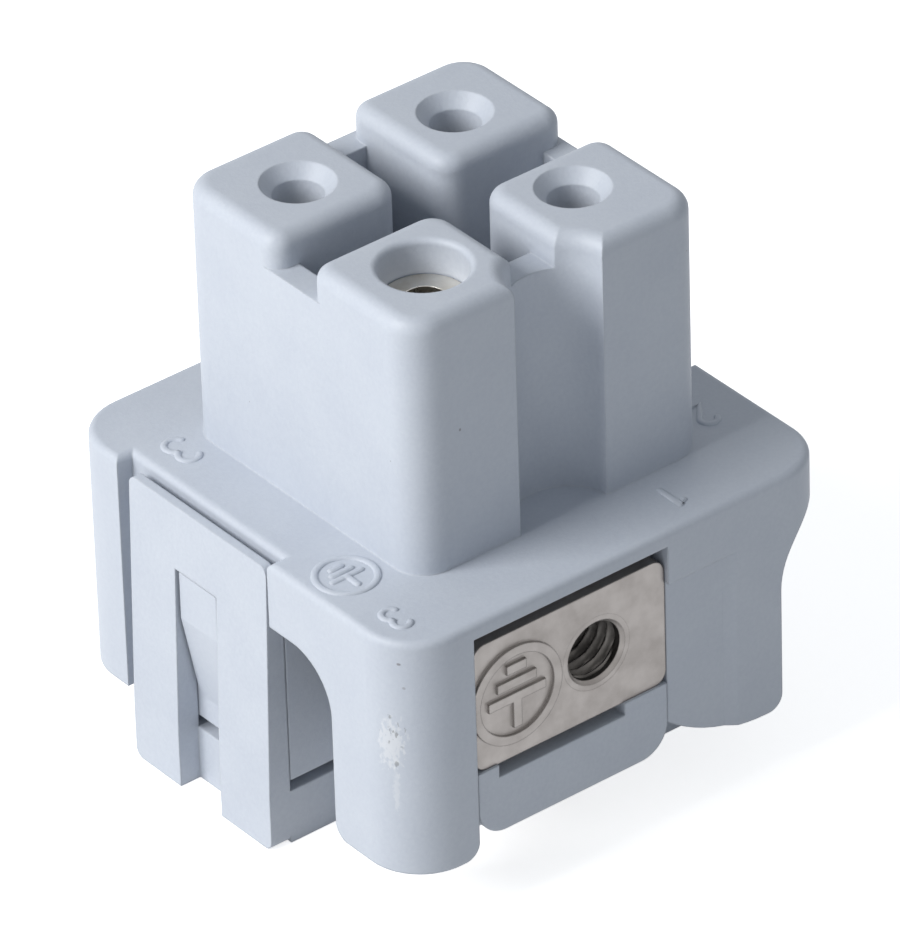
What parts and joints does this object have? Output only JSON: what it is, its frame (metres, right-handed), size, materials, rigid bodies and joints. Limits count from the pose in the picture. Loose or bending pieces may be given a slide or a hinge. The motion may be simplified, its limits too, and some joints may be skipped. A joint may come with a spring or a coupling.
{
  "type": "heavy duty connector insert",
  "caption": "Square female connector insert with raised socket towers, an earth socket, an earth plate with a threaded fixing hole and a clip-on back cap with screw terminals.",
  "frame": {"origin": "centre of the square at the underside of the retaining cap, on which the insert stands", "axes": "+Z towards the mating face, -X towards the visible clip panel, -Y towards the earth plate"},
  "size_m": [0.0216, 0.021, 0.0246],
  "materials": {
    "insulator": "light blue-grey moulded plastic",
    "cap": "light blue-grey moulded plastic",
    "nickel": "dull nickel plate",
    "silver": "silver-plated brass",
    "zinc": "zinc-plated steel"
  },
  "bodies": {
    "insert": {"insulator_body": "insulator", "retaining_cap": "cap", "earth_plate": "nickel", "earth_socket": "silver", "left_socket": "silver", "back_socket": "silver", "right_socket": "silver"},
    "left_screw": {"left_clamp_screw": "zinc"},
    "back_screw": {"back_clamp_screw": "zinc"},
    "right_screw": {"right_clamp_screw": "zinc"},
    "earth_screw": {"earth_clamp_screw": "zinc"}
  },
  "joints": [
    {"name": "left_clamp", "type": "slide", "parent": "insert", "child": "left_screw", "axis": [0, -1, 0], "range_m": [0, 0.0014]},
    {"name": "back_clamp", "type": "slide", "parent": "insert", "child": "back_screw", "axis": [0, -1, 0], "range_m": [0, 0.0014]},
    {"name": "right_clamp", "type": "slide", "parent": "insert", "child": "right_screw", "axis": [-1, 0, 0], "range_m": [0, 0.0014]},
    {"name": "earth_clamp", "type": "slide", "parent": "insert", "child": "earth_screw", "axis": [1, 0, 0], "range_m": [0, 0.0014]}
  ]
}
